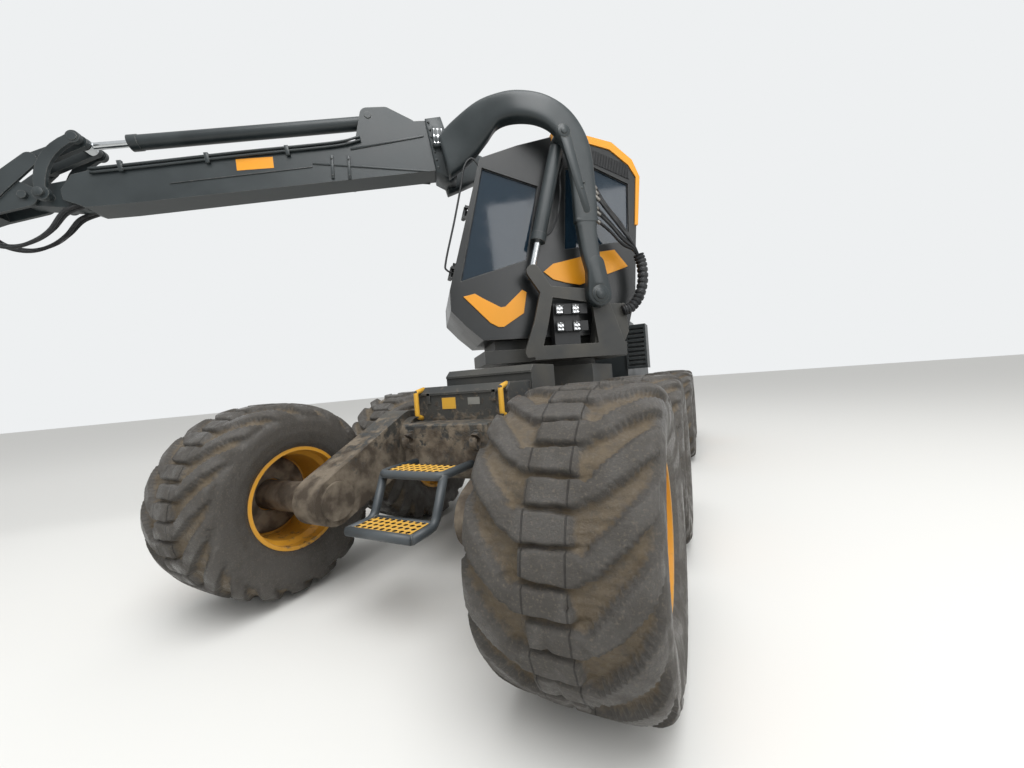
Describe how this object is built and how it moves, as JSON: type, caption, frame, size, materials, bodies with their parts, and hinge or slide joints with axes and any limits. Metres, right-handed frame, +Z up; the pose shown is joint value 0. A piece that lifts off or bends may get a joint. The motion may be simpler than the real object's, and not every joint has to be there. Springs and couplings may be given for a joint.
{
  "type": "forestry harvester",
  "caption": "Wheeled forestry harvester on bogies with a slewing cab, an arched crane over it, a telescopic jib and a harvester head.",
  "frame": {"origin": "on the ground under the slewing axis of the cab and crane", "axes": "+Z up, the machine faces -Y and +X is its left"},
  "size_m": [9.105, 10.2205, 4.6928],
  "materials": {
    "tyre": "muddy rubber",
    "rim": "ochre paint",
    "dark_paint": "dark slate paint",
    "muddy_steel": "dark paint under mud",
    "yellow_paint": "orange-yellow paint",
    "glass": "tinted pane",
    "chrome_rod": "polished",
    "seat": "dark cloth",
    "engine": "plain block",
    "lamp": "clear lens in black body"
  },
  "bodies": {
    "middle_frame": {"middle_frame": "muddy_steel"},
    "front_frame": {"front_frame": "muddy_steel", "front_axle": "muddy_steel", "front_bogie_cases": "muddy_steel", "front_ladder": "yellow_paint", "front_boxes": "dark_paint"},
    "rear_frame": {"rear_frame": "muddy_steel", "rear_axle": "muddy_steel", "rear_bogie_cases": "muddy_steel", "engine_block": "engine", "engine_hood": "dark_paint", "hood_louvres": "dark_paint"},
    "cab": {"slew_base": "dark_paint", "cab_shell": "dark_paint", "cab_roof": "yellow_paint", "cab_panels": "yellow_paint", "cab_glass": "glass", "operator_seat": "seat", "work_lamps": "lamp"},
    "cab_door": {"cab_door": "dark_paint", "door_glass": "glass"},
    "main_boom": {"gooseneck": "dark_paint", "main_boom": "dark_paint"},
    "lift_barrels": {"lift_barrels": "dark_paint"},
    "lift_rods": {"lift_rods": "chrome_rod"},
    "jib_barrel": {"jib_barrel": "dark_paint"},
    "jib_rod": {"jib_rod": "chrome_rod"},
    "knee_links": {"knee_links": "dark_paint"},
    "knee_rocker": {"knee_rocker": "dark_paint"},
    "jib": {"jib": "dark_paint"},
    "telescope": {"telescope": "dark_paint"},
    "head_link": {"head_link": "dark_paint"},
    "rotator": {"rotator": "dark_paint"},
    "head_yoke": {"head_yoke": "dark_paint"},
    "head_frame": {"head_frame": "dark_paint"},
    "left_knife": {"left_knife": "dark_paint"},
    "right_knife": {"right_knife": "dark_paint"},
    "left_roller": {"left_roller": "dark_paint"},
    "right_roller": {"right_roller": "dark_paint"},
    "wheel_l1": {"tyre_l1": "tyre", "rim_l1": "rim"},
    "wheel_l2": {"tyre_l2": "tyre", "rim_l2": "rim"},
    "wheel_l3": {"tyre_l3": "tyre", "rim_l3": "rim"},
    "wheel_l4": {"tyre_l4": "tyre", "rim_l4": "rim"},
    "wheel_r1": {"tyre_r1": "tyre", "rim_r1": "rim"},
    "wheel_r2": {"tyre_r2": "tyre", "rim_r2": "rim"},
    "wheel_r3": {"tyre_r3": "tyre", "rim_r3": "rim"},
    "wheel_r4": {"tyre_r4": "tyre", "rim_r4": "rim"}
  },
  "joints": [
    {"name": "wheel_l1_spin", "type": "hinge", "parent": "front_frame", "child": "wheel_l1", "pos_m": [1.195, -3.1, 0.67], "axis": [1, 0, 0], "continuous": true},
    {"name": "wheel_l2_spin", "type": "hinge", "parent": "front_frame", "child": "wheel_l2", "pos_m": [1.195, -1.56, 0.67], "axis": [1, 0, 0], "continuous": true},
    {"name": "wheel_l3_spin", "type": "hinge", "parent": "rear_frame", "child": "wheel_l3", "pos_m": [1.195, 1.56, 0.67], "axis": [1, 0, 0], "continuous": true},
    {"name": "wheel_l4_spin", "type": "hinge", "parent": "rear_frame", "child": "wheel_l4", "pos_m": [1.195, 3.1, 0.67], "axis": [1, 0, 0], "continuous": true},
    {"name": "wheel_r1_spin", "type": "hinge", "parent": "front_frame", "child": "wheel_r1", "pos_m": [-1.195, -3.1, 0.67], "axis": [1, 0, 0], "continuous": true},
    {"name": "wheel_r2_spin", "type": "hinge", "parent": "front_frame", "child": "wheel_r2", "pos_m": [-1.195, -1.56, 0.67], "axis": [1, 0, 0], "continuous": true},
    {"name": "wheel_r3_spin", "type": "hinge", "parent": "rear_frame", "child": "wheel_r3", "pos_m": [-1.195, 1.56, 0.67], "axis": [1, 0, 0], "continuous": true},
    {"name": "wheel_r4_spin", "type": "hinge", "parent": "rear_frame", "child": "wheel_r4", "pos_m": [-1.195, 3.1, 0.67], "axis": [1, 0, 0], "continuous": true},
    {"name": "front_steer", "type": "hinge", "parent": "middle_frame", "child": "front_frame", "pos_m": [0, -0.76, 0.87], "axis": [0, 0, 1], "range_deg": [-20, 20]},
    {"name": "rear_steer", "type": "hinge", "parent": "middle_frame", "child": "rear_frame", "pos_m": [0, 0.76, 0.87], "axis": [0, 0, 1], "range_deg": [-20, 20]},
    {"name": "slew", "type": "hinge", "parent": "middle_frame", "child": "cab", "pos_m": [0, 0, 1.5], "axis": [0, 0, 1], "range_deg": [-88, 192]},
    {"name": "cab_door_swing", "type": "hinge", "parent": "cab", "child": "cab_door", "pos_m": [-0.78502, -1.28337, 2.41896], "axis": [0.2274, 0.1776, 0.9575], "range_deg": [0, 75]},
    {"name": "lift", "type": "hinge", "parent": "cab", "child": "main_boom", "pos_m": [0.18124, 0.1416, 2.2503], "axis": [-0.6157, 0.788, 0], "range_deg": [-20, 45]},
    {"name": "jib_fold", "type": "hinge", "parent": "main_boom", "child": "jib", "pos_m": [-4.31042, -3.36767, 3.5803], "axis": [0.6157, -0.788, 0], "range_deg": [-8, 95]},
    {"name": "lift_barrel_swing", "type": "hinge", "parent": "main_boom", "child": "lift_barrels", "pos_m": [-0.04728, -0.03694, 4.0103], "axis": [-0.6157, 0.788, 0], "range_deg": [-2.5, 1.2]},
    {"name": "lift_rod_slide", "type": "slide", "parent": "lift_barrels", "child": "lift_rods", "axis": [-0.2165, -0.1691, -0.9615], "range_m": [-0.261, 0.585]},
    {"name": "jib_barrel_swing", "type": "hinge", "parent": "main_boom", "child": "jib_barrel", "pos_m": [-1.68768, -1.31856, 4.58327], "axis": [0.6157, -0.788, 0], "range_deg": [-2.5, 0.3]},
    {"name": "jib_rod_slide", "type": "slide", "parent": "jib_barrel", "child": "jib_rod", "axis": [-0.7789, -0.6086, -0.1513], "range_m": [-0.063, 0.738]},
    {"name": "knee_link_swing", "type": "hinge", "parent": "main_boom", "child": "knee_links", "pos_m": [-4.15885, -3.24925, 3.57871], "axis": [0.6157, -0.788, 0], "range_deg": [-6, 69.5]},
    {"name": "knee_rocker_swing", "type": "hinge", "parent": "jib", "child": "knee_rocker", "pos_m": [-4.25433, -3.32384, 3.93801], "axis": [0.6157, -0.788, 0], "range_deg": [-52, 4.5]},
    {"name": "telescope_slide", "type": "slide", "parent": "jib", "child": "telescope", "axis": [-0.7306, -0.5708, -0.3746], "range_m": [0, 2]},
    {"name": "head_link_swing", "type": "hinge", "parent": "telescope", "child": "head_link", "pos_m": [-6.77574, -5.29379, 2.381], "axis": [-0.6157, 0.788, 0], "range_deg": [-55, 110]},
    {"name": "rotator_swing", "type": "hinge", "parent": "head_link", "child": "rotator", "pos_m": [-6.77574, -5.29379, 2.171], "axis": [-0.788, -0.6157, 0], "range_deg": [-35, 35]},
    {"name": "rotator_spin", "type": "hinge", "parent": "rotator", "child": "head_yoke", "pos_m": [-6.77574, -5.29379, 1.8207], "axis": [0, 0, 1], "continuous": true},
    {"name": "head_tilt", "type": "hinge", "parent": "head_yoke", "child": "head_frame", "pos_m": [-6.77574, -5.29379, 1.4907], "axis": [0.6157, -0.788, 0], "range_deg": [0, 85]},
    {"name": "left_knife_close", "type": "hinge", "parent": "head_frame", "child": "left_knife", "pos_m": [-6.62798, -5.48291, 1.1307], "axis": [0.788, 0.6157, 0], "range_deg": [0, 50]},
    {"name": "right_knife_close", "type": "hinge", "parent": "head_frame", "child": "right_knife", "pos_m": [-6.9235, -5.10467, 1.1307], "axis": [-0.788, -0.6157, 0], "range_deg": [0, 50]},
    {"name": "left_roller_spin", "type": "hinge", "parent": "head_frame", "child": "left_roller", "pos_m": [-6.62183, -5.49079, 0.8757], "axis": [0, 0, 1], "continuous": true},
    {"name": "right_roller_spin", "type": "hinge", "parent": "head_frame", "child": "right_roller", "pos_m": [-6.92966, -5.09679, 0.8757], "axis": [0, 0, 1], "continuous": true}
  ],
  "couplings": [
    {"joint": "lift_barrel_swing", "follows": "lift", "ratio": -0.052},
    {"joint": "lift_rod_slide", "follows": "lift", "m_per_rad": 0.743},
    {"joint": "jib_barrel_swing", "follows": "jib_fold", "ratio": -0.025},
    {"joint": "jib_rod_slide", "follows": "jib_fold", "m_per_rad": 0.444},
    {"joint": "knee_link_swing", "follows": "jib_fold", "ratio": 0.73},
    {"joint": "knee_rocker_swing", "follows": "jib_fold", "ratio": -0.546},
    {"joint": "right_knife_close", "follows": "left_knife_close", "ratio": 1}
  ]
}
